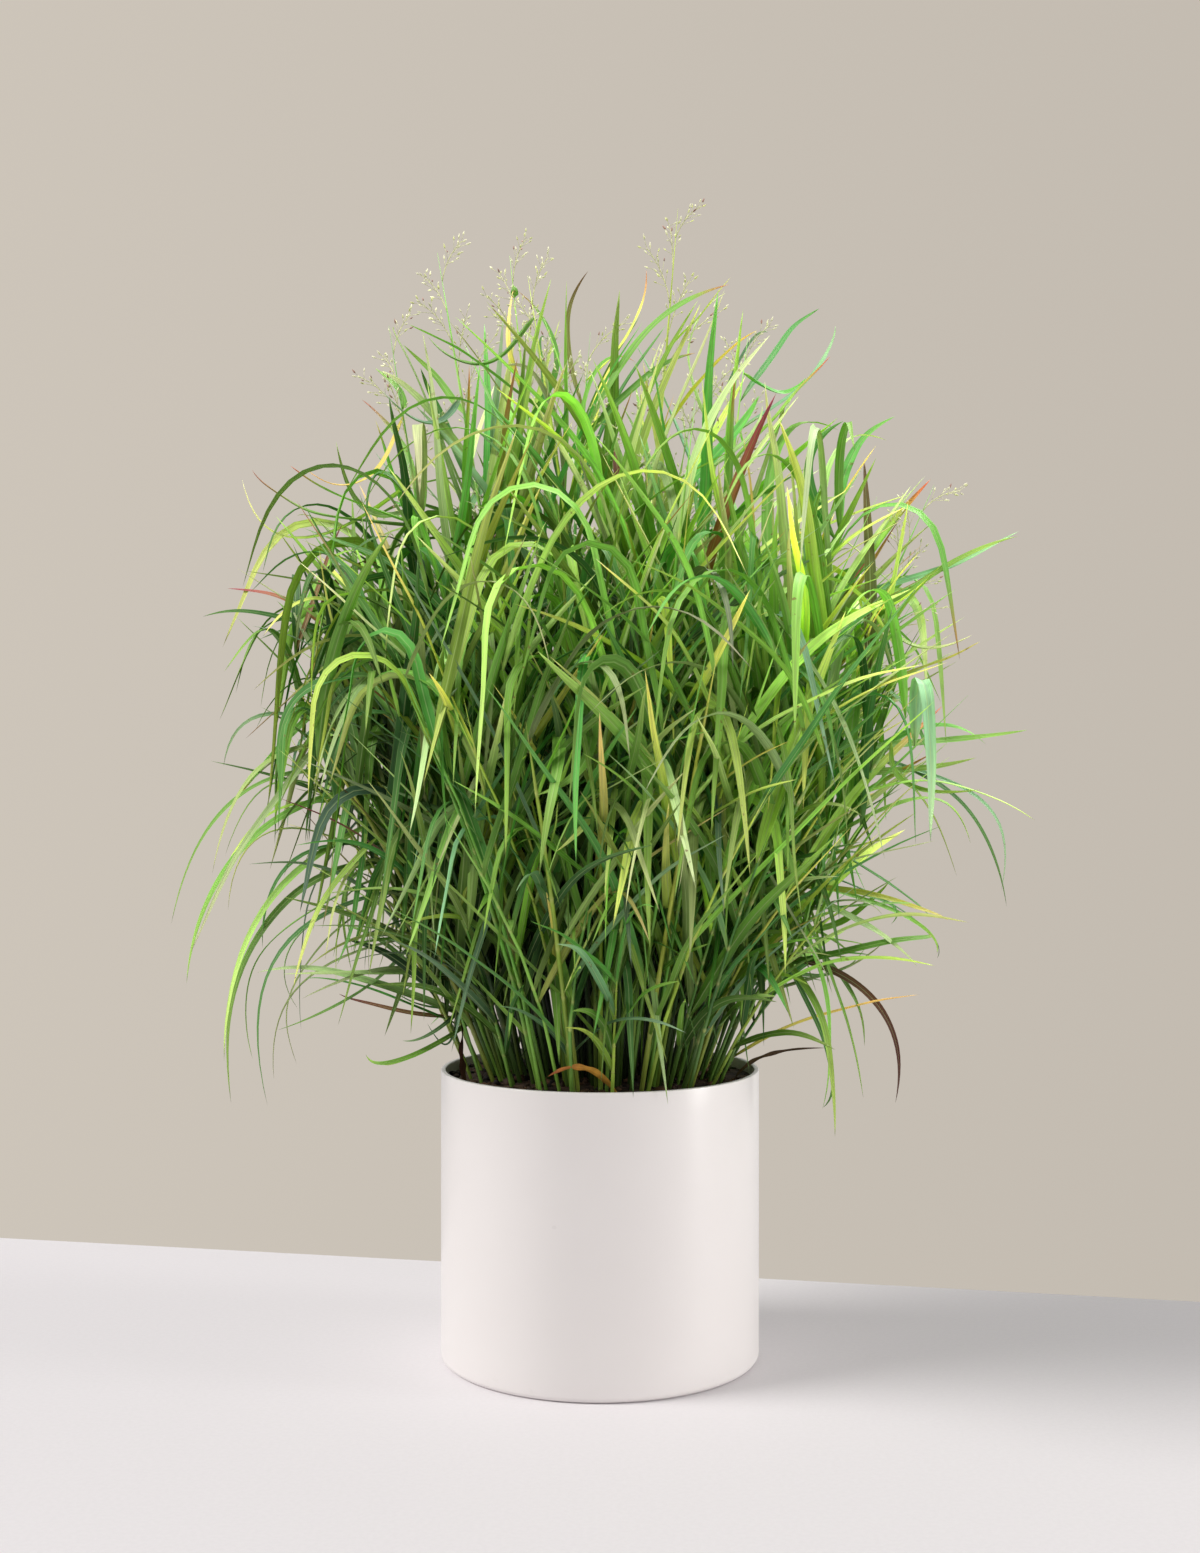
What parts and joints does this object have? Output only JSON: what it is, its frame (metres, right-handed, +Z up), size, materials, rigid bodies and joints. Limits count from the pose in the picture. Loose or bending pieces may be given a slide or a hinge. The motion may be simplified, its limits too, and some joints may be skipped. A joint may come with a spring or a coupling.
{
  "type": "potted switchgrass",
  "caption": "Clump of tall ornamental grass with arching narrow blades and a few airy flower heads, growing in a plain cylindrical planter.",
  "frame": {"origin": "middle of the planter's flat underside, on the planter's axis", "axes": "+Z up along the planter's axis, +X to the right in the front view, +Y away from the viewer"},
  "size_m": [0.8, 0.721, 1.082],
  "materials": {
    "planter": "satin",
    "potting_mix": "matte",
    "leaf": "satin",
    "flowering_stem": "satin",
    "dry_leaf": "matte"
  },
  "bodies": {
    "root": {"pot": "planter", "soil": "potting_mix", "leafy_culm_01": "leaf", "leafy_culm_02": "leaf", "leafy_culm_03": "leaf", "leafy_culm_04": "leaf", "leafy_culm_05": "leaf", "leafy_culm_06": "leaf", "leafy_culm_07": "leaf", "leafy_culm_08": "leaf", "leafy_culm_09": "leaf", "leafy_culm_10": "leaf", "leafy_culm_11": "leaf", "leafy_culm_12": "leaf", "leafy_culm_13": "leaf", "leafy_culm_14": "leaf", "leafy_culm_15": "leaf", "leafy_culm_16": "leaf", "leafy_culm_17": "leaf", "leafy_culm_18": "leaf", "leafy_culm_19": "leaf", "leafy_culm_20": "leaf", "leafy_culm_21": "leaf", "leafy_culm_22": "leaf", "leafy_culm_23": "leaf", "leafy_culm_24": "leaf", "leafy_culm_25": "leaf", "leafy_culm_26": "leaf", "leafy_culm_27": "leaf", "leafy_culm_28": "leaf", "leafy_culm_29": "leaf", "leafy_culm_30": "leaf", "leafy_culm_31": "leaf", "leafy_culm_32": "leaf", "leafy_culm_33": "leaf", "leafy_culm_34": "leaf", "leafy_culm_35": "leaf", "leafy_culm_36": "leaf", "leafy_culm_37": "leaf", "leafy_culm_38": "leaf", "leafy_culm_39": "leaf", "leafy_culm_40": "leaf", "leafy_culm_41": "leaf", "leafy_culm_42": "leaf", "leafy_culm_43": "leaf", "leafy_culm_44": "leaf", "flowering_culm_01": "flowering_stem", "flowering_culm_02": "flowering_stem", "flowering_culm_03": "flowering_stem", "flowering_culm_04": "flowering_stem", "flowering_culm_05": "flowering_stem", "flowering_culm_06": "flowering_stem", "flowering_culm_07": "flowering_stem", "flowering_culm_08": "flowering_stem", "flowering_culm_09": "flowering_stem", "flowering_culm_10": "flowering_stem", "dry_blade_1": "dry_leaf", "dry_blade_2": "dry_leaf", "dry_blade_3": "dry_leaf"}
  },
  "joints": []
}
